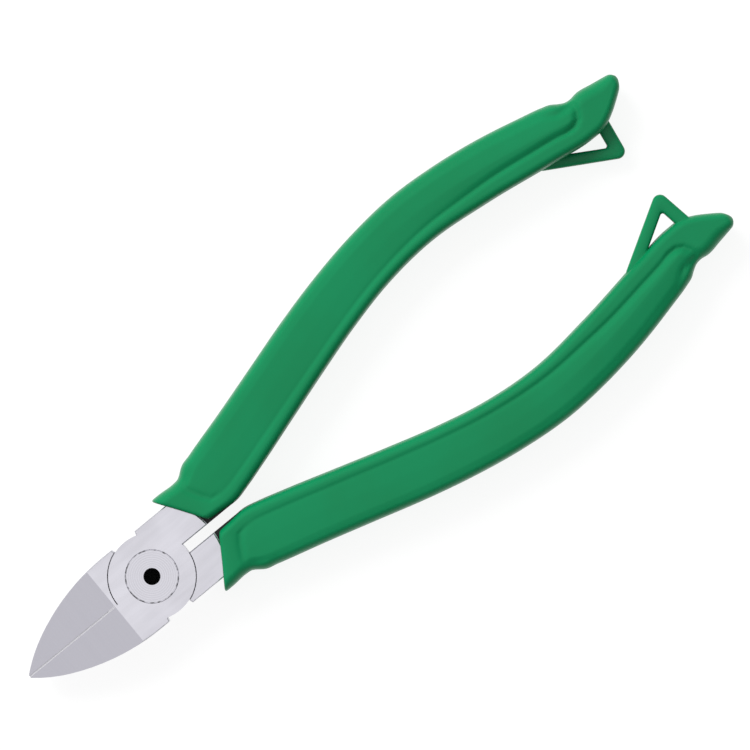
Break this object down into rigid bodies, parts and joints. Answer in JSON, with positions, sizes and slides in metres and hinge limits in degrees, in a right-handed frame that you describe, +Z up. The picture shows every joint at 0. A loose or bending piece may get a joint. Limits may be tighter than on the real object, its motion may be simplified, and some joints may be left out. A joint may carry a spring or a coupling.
{
  "type": "flush cut pliers",
  "caption": "Slim side cutting pliers with a riveted lap joint, pointed flush jaws and curved moulded grips that end in hanging loops.",
  "frame": {"origin": "centre of the pivot rivet, on the lap plane between the two halves", "axes": "+X from the pivot to the handle ends along the closed tool, +Y to the front half's handle, +Z up out of the tool's face"},
  "size_m": [0.16, 0.0544, 0.011],
  "materials": {
    "tool_steel": "ground and satin polished alloy tool steel",
    "rivet_steel": "turned steel, faced flush with the laps",
    "grip_plastic": "satin moulded green plastic"
  },
  "bodies": {
    "front": {"front_half": "tool_steel", "front_grip": "grip_plastic", "pivot_rivet": "rivet_steel"},
    "rear": {"rear_half": "tool_steel", "rear_grip": "grip_plastic"}
  },
  "joints": [
    {"name": "pivot", "type": "hinge", "parent": "front", "child": "rear", "pos_m": [0, 0, 0], "axis": [0, 0, -1], "range_deg": [0, 36]}
  ]
}
